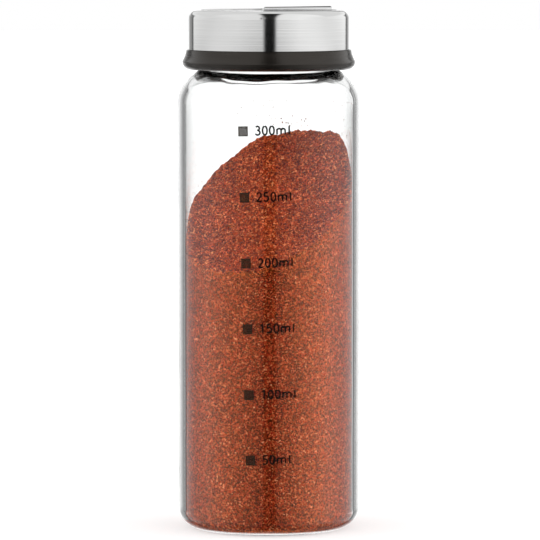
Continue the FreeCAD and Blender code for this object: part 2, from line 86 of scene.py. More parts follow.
def make_piece(name, points, *faces, body="jar", material=None, smooth=True):
    """A mesh piece from points and blocks of faces. It rides on one body of the solid model."""
    mesh = bpy.data.meshes.new(name)
    corners = np.concatenate([block.reshape(-1) for block in faces])
    sides = np.concatenate([np.full(len(block), block.shape[1]) for block in faces])
    mesh.vertices.add(len(points))
    mesh.vertices.foreach_set("co", np.asarray(points, np.float32).ravel())
    mesh.loops.add(len(corners))
    mesh.loops.foreach_set("vertex_index", corners.astype(np.int32))
    mesh.polygons.add(len(sides))
    mesh.polygons.foreach_set("loop_start", np.concatenate(([0], np.cumsum(sides)[:-1])).astype(np.int32))
    mesh.polygons.foreach_set("use_smooth", np.full(len(sides), smooth))
    mesh.update(calc_edges=True)
    mesh.validate()
    piece = bpy.data.objects.new(name, mesh)
    bpy.context.scene.collection.objects.link(piece)
    if material is not None:
        mesh.materials.append(material)
    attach(piece, body)
    print("%s: %d faces" % (name, len(mesh.polygons)))
    return piece


def revolve(section, segments):
    """Points and faces of a section (radius, height) carried round the axis.

    Each point of the section makes one ring: x = r cos a, y = r sin a, z = h. The two ends of the
    section lie on the axis, and each becomes a single point with a fan of triangles round it.
    """
    angle = np.linspace(0, 2 * np.pi, segments, endpoint=False)
    radius, height = section[1:-1, 0:1], section[1:-1, 1:2]
    rings = np.stack((radius * np.cos(angle), radius * np.sin(angle), height + 0 * angle), axis=-1)
    ends = np.array([[0, 0, section[0, 1]], [0, 0, section[-1, 1]]])
    points = np.concatenate((rings.reshape(-1, 3), ends))
    count = len(section) - 2
    first_ring = np.arange(segments)
    last_ring = first_ring + (count - 1) * segments
    start, end = count * segments, count * segments + 1
    return points, [
        grid_faces(count, segments),
        fan_faces(start, first_ring, facing_up=False),
        fan_faces(end, last_ring, facing_up=True),
    ]


def arc(centre, radius, start, end, steps):
    """Points on an arc from one angle to another, in degrees, counted from the outward direction."""
    angle = np.radians(np.linspace(start, end, steps))
    return np.column_stack((centre[0] + radius * np.cos(angle), centre[1] + radius * np.sin(angle)))


# %% [markdown]
# ## Shader building blocks
#
# A material in Blender is a small network. A few short functions keep the networks readable: one adds a
# node and fills its sockets, one does arithmetic, and one turns a number into a colour. Patterns that more
# than one finish needs are node groups, made once. They all read Object coordinates, so a pattern sits
# still on its piece and keeps its true size in metres.

# %% Small functions that add shader nodes
def plug(tree, socket, value):
    """Links a socket to an output, or sets it to a plain value."""
    if isinstance(value, bpy.types.NodeSocket):
        tree.links.new(value, socket)
    else:
        socket.default_value = value


def fill(tree, node, **inputs):
    """Fills a node's sockets by name, each with a link or a plain value."""
    for name, value in inputs.items():
        plug(tree, node.inputs[name.replace("_", " ")], value)
    return node


def add_node(tree, kind, settings=None, **inputs):
    """A node of one kind; settings are its own options, inputs its sockets by name."""
    node = tree.nodes.new("ShaderNode" + kind)
    for option, value in (settings or {}).items():
        setattr(node, option, value)
    return fill(tree, node, **inputs)


def math_node(tree, operation, *values, clamp=False):
    """The result of one arithmetic step."""
    node = add_node(tree, "Math", {"operation": operation, "use_clamp": clamp})
    for socket, value in zip(node.inputs, values):
        plug(tree, socket, value)
    return node.outputs[0]


def remap(tree, value, low, high, new_low=0.0, new_high=1.0):
    """A number carried from one range to another, and held inside the new one."""
    node = add_node(tree, "MapRange", Value=value)
    for name, setting in zip(("From Min", "From Max", "To Min", "To Max"), (low, high, new_low, new_high)):
        plug(tree, node.inputs[name], setting)
    return node.outputs["Result"]


def colour_ramp(tree, value, stops):
    """A colour looked up along a row of (place, colour) stops."""
    node = add_node(tree, "ValToRGB", Fac=value)
    ramp = node.color_ramp
    while len(ramp.elements) < len(stops):
        ramp.elements.new(0.5)
    for element, (place, colour) in zip(ramp.elements, stops):
        element.position = place
        element.color = (*colour, 1.0)
    return node.outputs["Color"]


def mix_colour(tree, share, first, second, blend="MIX"):
    """One colour laid over another by a share from 0 to 1."""
    node = add_node(tree, "Mix", {"data_type": "RGBA", "blend_type": blend})
    for place, value in ((0, share), (6, first), (7, second)):
        if isinstance(value, tuple) and len(value) == 3:
            value = (*value, 1.0)
        plug(tree, node.inputs[place], value)
    return node.outputs[2]


def new_material(name):
    """An empty material with its Principled shader wired to the output."""
    material = bpy.data.materials.new(name)
    material.use_nodes = True
    tree = material.node_tree
    tree.nodes.clear()
    shader = tree.nodes.new("ShaderNodeBsdfPrincipled")
    output = tree.nodes.new("ShaderNodeOutputMaterial")
    tree.links.new(shader.outputs[0], output.inputs["Surface"])
    return material, tree, shader, output


def new_group(name, outputs):
    """An empty node group with outputs of the given (name, type)."""
    group = bpy.data.node_groups.new(name, "ShaderNodeTree")
    for title, kind in outputs:
        group.interface.new_socket(title, in_out="OUTPUT", socket_type="NodeSocket" + kind)
    return group, group.nodes.new("NodeGroupOutput")


def use_group(tree, group, **inputs):
    """One use of a node group in a material, with its own values for the group's inputs."""
    return fill(tree, add_node(tree, "Group", {"node_tree": group}), **inputs).outputs


def mix_shaders(tree, share, first, second):
    """One shader laid over another by a share from 0 to 1."""
    mix = tree.nodes.new("ShaderNodeMixShader")
    for socket, value in zip(mix.inputs, (share, first.outputs[0], second.outputs[0])):
        plug(tree, socket, value)
    return mix.outputs[0]


def object_place(tree):
    """The point on the piece, in metres."""
    return add_node(tree, "TexCoord").outputs["Object"]


def drawn_noise(tree, place, stretch, detail):
    """Noise with its own scale along each axis, so that its spots are drawn out into lines."""
    drawn = add_node(tree, "Mapping", Vector=place, Scale=stretch).outputs[0]
    return add_node(tree, "TexNoise", Vector=drawn, Scale=1.0, Detail=detail).outputs[0]


print("helpers ready")

# %% [markdown]
# ## Camera
#
# The jar is seen from a little above, from far away, through a long lens: its sides look almost parallel
# and its round edges nearly flat. A long lens needs a large distance, here 1.4 m for a jar of 172 mm.

# %% Place the camera
CAMERA_PLACE = (0.0004, -1.400, 0.2027)
CAMERA_PITCH = 4.79
CAMERA_LENS = 282.8
camera_data = bpy.data.cameras.new("camera")
camera_data.lens = CAMERA_LENS
camera_data.clip_start = 0.05
camera_data.clip_end = 50.0
camera = bpy.data.objects.new("camera", camera_data)
camera.location = CAMERA_PLACE
camera.rotation_euler = (math.radians(90 - CAMERA_PITCH), 0.0, 0.0)
bpy.context.scene.collection.objects.link(camera)
bpy.context.scene.camera = camera
bpy.context.scene.view_settings.view_transform = "Standard"
print("camera lens", CAMERA_LENS, "mm")

# %% [markdown]
# ## Studio light
#
# Glass and steel show what stands round them, so a studio lights them with large white shapes. Two tall
# panels lean over the jar from left and right and leave a narrow slit, which starts at the camera and ends
# overhead: it draws the dark line down the middle of the steel. Behind the jar the panels meet, so that the
# lid's flat top mirrors no slit. Under the horizon the light falls off gently towards the camera, as it does
# on a table. Behind the jar stands a white card with a thin dark frame, which the edges of clear glass bend
# into view. Lamps and panels could be set up as objects. Here all of this is painted into the world, where
# the light of a ray depends only on its direction, because a few rows of numbers then give the brightness by
# an angle. Straight looks at the background see plain white.

# %% Paint the studio into the world
# each row gives brightnesses by an angle: sideways from the middle plane, or for the card round the compass
PANELS = [(-90, 0.80), (-45, 0.97), (-9, 0.92), (-5, 0.010), (8, 0.010), (12, 0.98), (45, 1.10), (90, 0.90)]
TABLE = [
    (-90, 0.95), (-76, 0.90), (-62, 0.78), (-49, 0.60), (-26, 0.36), (-9, 0.20), (-5, 0.0), (7, 0.0),
    (11, 0.22), (26, 0.42), (49, 0.80), (62, 1.0), (77, 1.12), (90, 1.12),
]
CARD = [
    (-43.5, 0.95), (-42.5, 0.03), (-40, 0.03), (-38, 0.26), (-26, 0.38), (-18, 0.85), (-12, 1.2),
    (12, 1.2), (18, 0.85), (26, 0.40), (32, 0.28), (34, 0.03), (36, 0.03), (37, 0.95), (44, 0.95),
]
BACK_TABLE = [
    (-90, 0.95), (-82, 0.75), (-68, 0.52), (-44, 0.50), (44, 0.55), (68, 0.66), (82, 0.95), (90, 1.12),
]
BRIGHTEST = 1.25
PANELS_MEET = 0.85
CARD_EDGES = -43.5, 37.0
# heights are sines of the angle over the horizon
CARD_TOP = math.sin(math.radians(12))
CARD_FRAME, CARD_FRAME_LIGHT, CARD_BLUR = 0.03, 0.06, 0.05
HORIZON = math.sin(math.radians(-2.0))
HORIZON_BLUR = 0.008
FRONT_BLUR, BEHIND = 0.05, 0.10
MEETING = math.sin(math.radians(18)), math.sin(math.radians(25))
# soft light on dull surfaces grows towards the sides
SIDE_ANGLES = 30.0, 78.0
LIGHT_FROM_FRONT, LIGHT_FROM_SIDES = 0.95, 4.0


def brightness(tree, degrees, stops, reach):
    """Brightness looked up by an angle, on a ramp that spans plus and minus reach degrees."""
    share = math_node(tree, "MULTIPLY_ADD", degrees, 1 / (2 * reach), 0.5)
    greys = [(angle / (2 * reach) + 0.5, (value / BRIGHTEST,) * 3) for angle, value in stops]
    return math_node(tree, "MULTIPLY", colour_ramp(tree, share, greys), BRIGHTEST)


def pick_number(tree, share, first, second):
    """One number laid over another by a share from 0 to 1."""
    node = add_node(tree, "Mix", {"data_type": "FLOAT"})
    for place, value in ((0, share), (2, first), (3, second)):
        plug(tree, node.inputs[place], value)
    return node.outputs[0]


world = bpy.data.worlds.new("studio")
bpy.context.scene.world = world
world.use_nodes = True
tree = world.node_tree
tree.nodes.clear()
ray = add_node(tree, "SeparateXYZ", Vector=add_node(tree, "TexCoord").outputs["Generated"]).outputs
height, back = ray["Z"], ray["Y"]
sideways = math_node(tree, "DEGREES", math_node(tree, "ARCSINE", ray["X"]))
behind_and_high = math_node(tree, "MULTIPLY", remap(tree, height, *MEETING), remap(tree, back, 0.0, BEHIND))
above = pick_number(tree, behind_and_high, brightness(tree, sideways, PANELS, 90), PANELS_MEET)
in_front = remap(tree, back, -FRONT_BLUR, FRONT_BLUR, 1.0, 0.0)
back_table = brightness(tree, sideways, BACK_TABLE, 90)
below = pick_number(tree, in_front, back_table, brightness(tree, sideways, TABLE, 90))
over_horizon = remap(tree, height, HORIZON - HORIZON_BLUR, HORIZON + HORIZON_BLUR)
round_jar = pick_number(tree, over_horizon, below, above)
# the compass angle counts from straight behind the jar, and is positive to the right
compass = math_node(tree, "DEGREES", math_node(tree, "ARCTAN2", ray["X"], back))
under_frame = remap(tree, height, CARD_TOP - CARD_FRAME, CARD_TOP, 1.0, CARD_FRAME_LIGHT)
card = math_node(tree, "MULTIPLY", brightness(tree, compass, CARD, 44), under_frame)
right_of_left_edge = math_node(tree, "GREATER_THAN", compass, CARD_EDGES[0])
left_of_right_edge = math_node(tree, "LESS_THAN", compass, CARD_EDGES[1])
within = math_node(tree, "MULTIPLY", right_of_left_edge, left_of_right_edge)
use_card = math_node(tree, "MULTIPLY", within, remap(tree, height, CARD_TOP, CARD_TOP + CARD_BLUR, 1.0, 0.0))
studio = pick_number(tree, use_card, round_jar, card)
look = add_node(tree, "LightPath").outputs
from_middle = math_node(tree, "ABSOLUTE", sideways)
from_side = remap(tree, from_middle, *SIDE_ANGLES, LIGHT_FROM_FRONT, LIGHT_FROM_SIDES)
lighting = math_node(tree, "MULTIPLY", studio, pick_number(tree, look["Is Diffuse Ray"], 1.0, from_side))
strength = pick_number(tree, look["Is Camera Ray"], lighting, 1.0)
background = add_node(tree, "Background", Color=(1.0, 1.0, 1.0, 1.0), Strength=strength)
add_node(tree, "OutputWorld", Surface=background.outputs[0])
print("world painted from", len(PANELS) + len(TABLE) + len(BACK_TABLE) + len(CARD), "numbers")

# %% [markdown]
# ## Floor
#
# The jar stands on a pale table that runs into the background without an edge. For the camera the floor
# glows a little, so that it reaches white away from the jar and keeps a soft shadow close to it. For
# reflections and for looks through the glass it steps aside, and they meet the studio beyond it.

# %% Make the floor
FLOOR_REACH = 6.0
FLOOR_GLOW = 0.40
floor_material, tree, shader, output = new_material("pale_floor")
fill(tree, shader, Base_Color=(0.80, 0.80, 0.80, 1.0), Roughness=0.9, Specular_IOR_Level=0.0)
path = add_node(tree, "LightPath").outputs
for_camera = math_node(tree, "MULTIPLY", path["Is Camera Ray"], FLOOR_GLOW)
glow = add_node(tree, "Emission", Color=(1.0, 1.0, 1.0, 1.0), Strength=for_camera)
lit = tree.nodes.new("ShaderNodeAddShader")
tree.links.new(shader.outputs[0], lit.inputs[0])
tree.links.new(glow.outputs[0], lit.inputs[1])
through = add_node(tree, "BsdfTransparent")
bent = math_node(tree, "MAXIMUM", path["Is Glossy Ray"], path["Is Transmission Ray"])
fill(tree, output, Surface=mix_shaders(tree, bent, lit, through))

corners = np.array([[-1, -1], [1, -1], [1, 1], [-1, 1]]) * FLOOR_REACH
floor_mesh = bpy.data.meshes.new("floor")
floor_mesh.from_pydata([(x, y, 0.0) for x, y in corners], [], [(0, 1, 2, 3)])
floor_mesh.materials.append(floor_material)
floor = bpy.data.objects.new("floor", floor_mesh)
bpy.context.scene.collection.objects.link(floor)
print("floor", 2 * FLOOR_REACH, "m square")

# %% [markdown]
# ## Clear glass
#
# The jar is soda glass, blown in a mould: one even wall that rolls over a round shoulder into the neck,
# with a slightly raised middle under the foot. The solid part has flat steps round it that refraction would
# show, so the same section is drawn again here and carried round in 288 steps. Its wall is thinner than the
# solid's by a few hundredths of a millimetre on each side, which leaves room for the print and for the spice.
# In the material, light that only has to reach the spice passes straight through, because following it
# through every bend is slow and noisy.

# %% Make the glass jar
WALL = GLASS_RADIUS - BORE
PRINT_ROOM = 0.03 * MM
SPICE_ROOM = 0.08 * MM
HEEL = 6.8 * MM
SHOULDER = 12.0 * MM
SHOULDER_LEVEL = 140.65 * MM
NECK = 23.2 * MM
NECK_BLEND = 1.0 * MM
NECK_LINE = 161 * MM
THROAT_BLEND = 2.0 * MM
THROAT_WALL = 3.25 * MM
THROAT_TOP = 157 * MM
THROAT_LEVEL, THROAT_SPREAD, THROAT_UNEVEN = 150.5 * MM, 2.4 * MM, 0.05 * MM
# each wave goes round this many times, with this share and start
THROAT_WAVES = ((5, 1.0, 1.0), (9, 0.7, 2.2), (16, 0.5, 0.4))
PUNT_RADIUS, PUNT_DEPTH = 18.0 * MM, 0.5 * MM
FLOOR = 1.6 * MM
GLASS_STEPS = 288


def glass_section():
    """Section from the middle of the foot, up the outside, over the rim and down the inside."""
    outer, inner = GLASS_RADIUS - PRINT_ROOM, BORE + SPICE_ROOM
    wall = outer - inner
    hub = (outer - SHOULDER, SHOULDER_LEVEL)
    throat_x = NECK + NECK_BLEND
    throat_z = hub[1] + math.sqrt((SHOULDER + NECK_BLEND) ** 2 - (throat_x - hub[0]) ** 2)
    lean = math.degrees(math.atan2(throat_z - hub[1], throat_x - hub[0]))
    # inside, the glass thickens towards the throat, as it does where it was pinched in the mould
    thick_x = NECK - THROAT_WALL + THROAT_BLEND
    thick_z = hub[1] + math.sqrt((SHOULDER - wall + THROAT_BLEND) ** 2 - (thick_x - hub[0]) ** 2)
    thick_lean = math.degrees(math.atan2(thick_z - hub[1], thick_x - hub[0]))
    rim = GLASS_TOP - wall / 2
    dome = (PUNT_RADIUS**2 + PUNT_DEPTH**2) / (2 * PUNT_DEPTH)
    edge = math.degrees(math.asin(PUNT_RADIUS / dome))
    heel_hub = (outer - HEEL, HEEL)
    return np.concatenate((
        arc((0, PUNT_DEPTH - dome), dome, 90, 90 - edge, 12),
        arc(heel_hub, HEEL, -90, 0, 26),
        np.column_stack((np.full(12, outer), np.linspace(HEEL, hub[1], 14)[1:-1])),
        arc(hub, SHOULDER, 0, lean, 30),
        arc((throat_x, throat_z), NECK_BLEND, 180 + lean, 180, 8)[1:],
        arc((NECK - wall / 2, rim), wall / 2, 0, 180, 18),
        [[NECK - wall, NECK_LINE], [NECK - THROAT_WALL, THROAT_TOP]],
        arc((thick_x, thick_z), THROAT_BLEND, 180, 180 + thick_lean, 20),
        arc(hub, SHOULDER - wall, thick_lean, 0, 26)[1:],
        np.column_stack((np.full(12, inner), np.linspace(hub[1], FLOOR + HEEL - wall, 14)[1:-1])),
        arc((heel_hub[0], FLOOR + HEEL - wall), HEEL - wall, 0, -90, 22),
        [[0.0, FLOOR]],
    ))


glass, tree, shader, output = new_material("clear_glass")
ripple = add_node(tree, "TexNoise", Vector=object_place(tree), Scale=55.0, Detail=1.0)
bump = add_node(tree, "Bump", Height=ripple.outputs[0], Strength=0.02, Distance=0.002)
fill(
    tree, shader, Base_Color=(0.985, 0.992, 0.99, 1.0), Transmission_Weight=1.0, Roughness=0.0, IOR=1.5,
    Specular_Tint=(0.5, 0.5, 0.5, 1.0), Normal=bump.outputs[0],
)
path = add_node(tree, "LightPath").outputs
through = add_node(tree, "BsdfTransparent", Color=(0.98, 0.98, 0.98, 1.0))
only_light = math_node(tree, "MAXIMUM", path["Is Shadow Ray"], path["Is Diffuse Ray"])
fill(tree, output, Surface=mix_shaders(tree, only_light, shader, through))


def uneven_throat(points, section, segments):
    """Lifts the inside of the throat by three sines of the angle, times e^(-(distance / spread)^2).

    The distance is that of a point's height to the throat's. Mould-blown glass is never quite even inside,
    and this is what breaks its dark line into streaks.
    """
    inside = np.repeat(np.arange(len(section) - 2) >= np.argmax(section[:, 1]), segments)
    x, y, z = points[: len(inside)].T
    turn = np.arctan2(y, x)
    wave = sum(share * np.sin(times * turn + start) for times, share, start in THROAT_WAVES)
    near = np.exp(-(((z - THROAT_LEVEL) / THROAT_SPREAD) ** 2))
    points[: len(inside), 2] += inside * near * wave * THROAT_UNEVEN
    return points


section = glass_section()
points, faces = revolve(section, GLASS_STEPS)
points = uneven_throat(points, section, GLASS_STEPS)
jar_glass = make_piece("jar_glass", points, *faces, material=glass)
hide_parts("glass_jar")

# %% [markdown]
# ## Ground spice
#
# Ground red spice is a packed mass of flakes and dust, from deep brown-red to bright orange, with a few
# pale seeds. It fills the jar and leans to one side, as it does after the jar was tipped. A mass of
# millions of grains can't be modelled grain by grain, so the bulk is one closed surface whose top carries
# grain-sized relief, and real loose grains lie on the slope. The bulk ends a few hundredths of a millimetre
# short of the glass, and grains that touch the glass are added in a later cell.

# %% Shape the heap
HEADING = math.radians(62.7)
SLOPE = 0.813
MIDDLE_LEVEL = 108.6 * MM
# a wave is (share, down, across, start), and a bank is (middle x, middle y, rise, spread) in millimetres
WAVES = ((1.0, 0.21, 0.0, 0.6), (0.6, 0.17, 0.37, 1.9), (0.5, -0.23, 0.29, 1.57))
WAVE_HEIGHT = 0.35
BANKS = ((25.5, 11.5, 3.2, 5.5), (-26.8, 7.0, 3.3, 5.0), (8.0, 26.0, -1.0, 5.5), (-2.5, 23.0, 1.5, 5.0))
# clods, coarse grains and fine grains: (spacing and height in millimetres, seed)
RELIEF = ((3.1, 0.7, 5), (1.2, 0.6, 3), (0.6, 0.3, 8))
RELIEF_SUNK = 0.75
LOWEST_GRAIN, GRAIN_STEEPNESS = 0.35, 1.6


def heap_height(x, y):
    """Height over (x, y): a slanting plane, three long waves and four low banks.

    Along runs uphill and aside across it, in millimetres. A wave is share x sin(down x along + across x
    aside + start). A bank is rise x e^(-(d / spread)^2 / 2), where d is the distance to its middle.
    """
    x, y = x / MM, y / MM
    along = x * math.cos(HEADING) + y * math.sin(HEADING)
    aside = -x * math.sin(HEADING) + y * math.cos(HEADING)
    waves = sum(share * np.sin(down * along + across * aside + start) for share, down, across, start in WAVES)
    banks = sum(
        rise * np.exp(-((x - middle_x) ** 2 + (y - middle_y) ** 2) / (2 * spread**2))
        for middle_x, middle_y, rise, spread in BANKS
    )
    return MIDDLE_LEVEL + (SLOPE * along + WAVE_HEIGHT * waves + banks) * MM


def lattice_random(cell_x, cell_y, seed):
    """Three repeatable random numbers from 0 to 1 for each whole-numbered cell.

    Large odd numbers and shifted bits mix the cell's place and the seed until no order is left.
    """
    mixed = (cell_x * 73856093) ^ (cell_y * 19349663) ^ (seed * 83492791)
    mixed = (mixed ^ (mixed >> 13)) * 1274126177 & 0x7FFFFFFF
    again = (mixed ^ (mixed >> 11)) * 2654435761 & 0x7FFFFFFF
    third = (again ^ (again >> 15)) * 2246822519 & 0x7FFFFFFF
    return mixed / 0x7FFFFFFF, again / 0x7FFFFFFF, third / 0x7FFFFFFF


def grain_relief(x, y, spacing, seed):
    """Rounded bumps, one for each cell of a loose lattice.

    Each cell holds one grain at a random place. The height at a point is that of the highest dome near it:
    1 minus steepness x the squared distance to the grain in spacings, times the grain's own height.
    """
    u, v = x / spacing, y / spacing
    home_x, home_y = np.floor(u).astype(np.int64), np.floor(v).astype(np.int64)
    highest = np.zeros_like(u)
    for step_x in (-1, 0, 1):
        for step_y in (-1, 0, 1):
            cell_x, cell_y = home_x + step_x, home_y + step_y
            shift_x, shift_y, large = lattice_random(cell_x, cell_y, seed)
            apart = (cell_x + shift_x - u) ** 2 + (cell_y + shift_y - v) ** 2
            tall = LOWEST_GRAIN + (1 - LOWEST_GRAIN) * large
            dome = tall * np.clip(1 - GRAIN_STEEPNESS * apart, 0, None)
            highest = np.maximum(highest, dome)
    return highest


def heap_surface(x, y):
    """The slope with clods and two sizes of grain pressed into it."""
    relief = sum(rise * grain_relief(x, y, spacing * MM, seed) for spacing, rise, seed in RELIEF)
    return heap_height(x, y) + (relief - RELIEF_SUNK) * MM


print("middle of the heap at %.1f mm" % (heap_surface(np.zeros(1), np.zeros(1))[0] / MM))

# %% Make the bulk of the spice
ROUND = 512
TOP_RINGS, SIDE_RINGS, HEEL_RINGS = 120, 38, 14
FILL = BORE + 0.05 * MM
FLOOR_LEVEL = FLOOR + 0.02 * MM
BOWL = HEEL - WALL
angle = np.linspace(0, 2 * np.pi, ROUND, endpoint=False)
radius = FILL * np.sqrt(np.linspace(0, 1, TOP_RINGS + 1))[1:, None]
top_x, top_y = radius * np.cos(angle), radius * np.sin(angle)
top = np.stack((top_x, top_y, heap_surface(top_x, top_y)), axis=-1)
share = np.linspace(0, 1, SIDE_RINGS + 2)[1:-1, None]
side_z = top[-1, :, 2] * (1 - share) + (FLOOR_LEVEL + BOWL) * share
side = np.stack((FILL * np.cos(angle) + 0 * share, FILL * np.sin(angle) + 0 * share, side_z), axis=-1)
heel = arc((FILL - BOWL, FLOOR_LEVEL + BOWL), BOWL, 0, -90, HEEL_RINGS)
heel = np.stack((heel[:, :1] * np.cos(angle), heel[:, :1] * np.sin(angle), heel[:, 1:] + 0 * angle), axis=-1)
rings = np.concatenate((top, side, heel)).reshape(-1, 3)
middle = np.array([[0, 0, float(heap_surface(np.zeros(1), np.zeros(1))[0])], [0, 0, FLOOR_LEVEL]])
last_ring = np.arange(ROUND) + len(rings) - ROUND
spice_bulk = make_piece(
    "spice_bulk",
    np.concatenate((rings, middle)),
    grid_faces(len(rings) // ROUND, ROUND)[:, ::-1],
    fan_faces(len(rings), np.arange(ROUND), facing_up=True),
    fan_faces(len(rings) + 1, last_ring, facing_up=False),
)
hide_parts("spice_powder")

# %% [markdown]
# The colour of the spice comes from two sizes of Voronoi cells, flakes of about half a millimetre and finer
# grit among them, each coloured by its own random number. Small dark specks lie over them, and soft noise
# darkens and lightens whole clumps. A grain's sheen grows with its brightness, so that dark grains stay
# dark. A group keeps the recipe in one place, because the spice pressed on the glass and the spice on the
# open slope use it with different sizes, contrast and tints.

# %% Mix the spice colours
WARP = 0.0002
GRITTY_FROM = 0.58
# cells of specks to a metre, a speck's radius in cells, and the share of cells that have one
SPECKS, SPECK_RADIUS, SPECK_SHARE = 1500.0, 0.38, 0.42
spice_grains, out = new_group("spice_grains", [("Colour", "Color"), ("Height", "Float"), ("Sheen", "Float")])
for title in ("Flakes", "Grit", "Depth", "Palest"):
    spice_grains.interface.new_socket(title, in_out="INPUT", socket_type="NodeSocketFloat")
given = spice_grains.nodes.new("NodeGroupInput").outputs
place = object_place(spice_grains)
warp = add_node(spice_grains, "TexNoise", Vector=place, Scale=900.0, Detail=1.0)
shifted = add_node(spice_grains, "VectorMath", {"operation": "MULTIPLY_ADD"})
for socket, value in zip(shifted.inputs, (warp.outputs["Color"], (WARP,) * 3, place)):
    plug(spice_grains, socket, value)


def coloured_cells(tree, place, scale):
    """Distance to the middle of the nearest Voronoi cell, and that cell's three random numbers."""
    cells = add_node(tree, "TexVoronoi", Vector=place, Scale=scale)
    return cells.outputs["Distance"], add_node(tree, "SeparateColor", Color=cells.outputs["Color"]).outputs


flake_distance, flake_pick = coloured_cells(spice_grains, shifted.outputs[0], given["Flakes"])
_, grit_pick = coloured_cells(spice_grains, shifted.outputs[0], given["Grit"])
FLAKE_COLOURS = [
    (0.0, (0.030, 0.001, 0.002)),
    (0.24, (0.085, 0.003, 0.003)),
    (0.44, (0.210, 0.010, 0.006)),
    (0.66, (0.340, 0.030, 0.016)),
    (0.84, (0.480, 0.110, 0.052)),
    (0.95, (0.620, 0.260, 0.130)),
    (1.0, (0.800, 0.480, 0.280)),
]
GRIT_COLOURS = [
    (0.0, (0.015, 0.001, 0.002)),
    (0.30, (0.100, 0.005, 0.004)),
    (0.62, (0.310, 0.026, 0.014)),
    (0.88, (0.580, 0.130, 0.058)),
    (1.0, (0.820, 0.300, 0.140)),
]
gritty = math_node(spice_grains, "GREATER_THAN", flake_pick["Green"], GRITTY_FROM)
flake_shade = math_node(spice_grains, "MULTIPLY", flake_pick["Red"], given["Palest"])
speckled = mix_colour(
    spice_grains, gritty, colour_ramp(spice_grains, flake_shade, FLAKE_COLOURS),
    colour_ramp(spice_grains, grit_pick["Green"], GRIT_COLOURS),
)
clump = add_node(spice_grains, "TexNoise", Vector=place, Scale=360.0, Detail=4.0, Roughness=0.65)
clumped = remap(spice_grains, clump.outputs[0], 0.38, 0.62)
shadowed = mix_colour(spice_grains, given["Depth"], (1.0, 1.0, 1.0), (0.30, 0.24, 0.24))
tint = mix_colour(spice_grains, clumped, shadowed, (1.12, 1.15, 1.15))
tinted = mix_colour(spice_grains, 1.0, speckled, tint, blend="MULTIPLY")
speck_distance, speck_pick = coloured_cells(spice_grains, place, SPECKS)
small = math_node(spice_grains, "LESS_THAN", speck_distance, SPECK_RADIUS)
chosen = math_node(spice_grains, "LESS_THAN", speck_pick["Red"], SPECK_SHARE)
dark = math_node(spice_grains, "MULTIPLY", small, chosen)
final = mix_colour(spice_grains, dark, tinted, (0.050, 0.008, 0.008))
light = mix_colour(spice_grains, gritty, flake_pick["Red"], grit_pick["Green"])
glossy = remap(spice_grains, light, 0.0, 1.0, 0.40, 1.15)
sheen = math_node(spice_grains, "MULTIPLY", glossy, math_node(spice_grains, "MULTIPLY_ADD", dark, -0.85, 1.0))
tall = math_node(spice_grains, "MULTIPLY_ADD", flake_distance, -1.2, flake_pick["Blue"])
fill(spice_grains, out, Colour=final, Height=tall, Sheen=sheen)

# %% Make the two finishes of the spice
SHEEN_TINT = (1.0, 0.24, 0.035, 1.0)


def spice_material(name, flakes, grit, depth, palest, relief, roughness, shine, lift):
    """Spice with its own grains (cells per metre), shade, relief (metres), gloss and tint."""
    material, tree, shader, _ = new_material(name)
    grains = use_group(tree, spice_grains, Flakes=flakes, Grit=grit, Depth=depth, Palest=palest)
    lifted = mix_colour(tree, 1.0, grains["Colour"], lift, blend="MULTIPLY")
    sheen = math_node(tree, "MULTIPLY", grains["Sheen"], shine)
    bump = add_node(tree, "Bump", Height=grains["Height"], Strength=1.0, Distance=relief)
    fill(
        tree, shader, Base_Color=lifted, Roughness=roughness, IOR=2.5, Specular_IOR_Level=sheen,
        Specular_Tint=SHEEN_TINT, Normal=bump.outputs[0],
    )
    return material


pressed_spice = spice_material(
    "pressed_spice", flakes=2200.0, grit=3400.0, depth=0.45, palest=1.0,
    relief=0.00003, roughness=0.22, shine=1.0, lift=(1.02, 0.70, 0.70),
)
loose_spice = spice_material(
    "loose_spice", flakes=1500.0, grit=2600.0, depth=0.50, palest=0.93,
    relief=0.00022, roughness=0.5, shine=0.9, lift=(2.15, 2.35, 2.1),
)
for finish in (pressed_spice, loose_spice):
    spice_bulk.data.materials.append(finish)
# the faces of the top rings come first, and the fan at their middle comes last but one
on_top = np.zeros(len(spice_bulk.data.polygons), np.int32)
on_top[: (TOP_RINGS - 1) * ROUND] = 1
on_top[-2 * ROUND : -ROUND] = 1
spice_bulk.data.polygons.foreach_set("material_index", on_top)
print("spice colours mixed:", int(on_top.sum()), "faces on the slope")

# %% [markdown]
# ## Loose grains
#
# What makes a heap of ground spice look real is its edge: single flakes stand up from the crest and catch
# the light. They are flat, uneven crystals of eight faces, each turned, squashed and coloured by its own
# random numbers. A seeded generator gives the same grains each time. Each flake's colour is kept in a mesh
# attribute, which the material reads.

# %% Make crystals to scatter
CRYSTAL = np.array([[1, 0, 0], [0, 1, 0], [-1, 0, 0], [0, -1, 0], [0, 0, 1], [0, 0, -1]], float)
CRYSTAL_FACES = np.array([
    [0, 1, 4], [1, 2, 4], [2, 3, 4], [3, 0, 4], [1, 0, 5], [2, 1, 5], [3, 2, 5], [0, 3, 5]])
chance = np.random.default_rng(27)


def turn_matrices(count):
    """Random turns, from unit quaternions (w, x, y, z) drawn evenly over the sphere."""
    quaternions = chance.normal(size=(count, 4))
    w, x, y, z = (quaternions / np.linalg.norm(quaternions, axis=1, keepdims=True)).T
    return np.stack((
        1 - 2 * (y * y + z * z), 2 * (x * y - w * z), 2 * (x * z + w * y),
        2 * (x * y + w * z), 1 - 2 * (x * x + z * z), 2 * (y * z - w * x),
        2 * (x * z - w * y), 2 * (y * z + w * x), 1 - 2 * (x * x + y * y)), axis=1).reshape(-1, 3, 3)


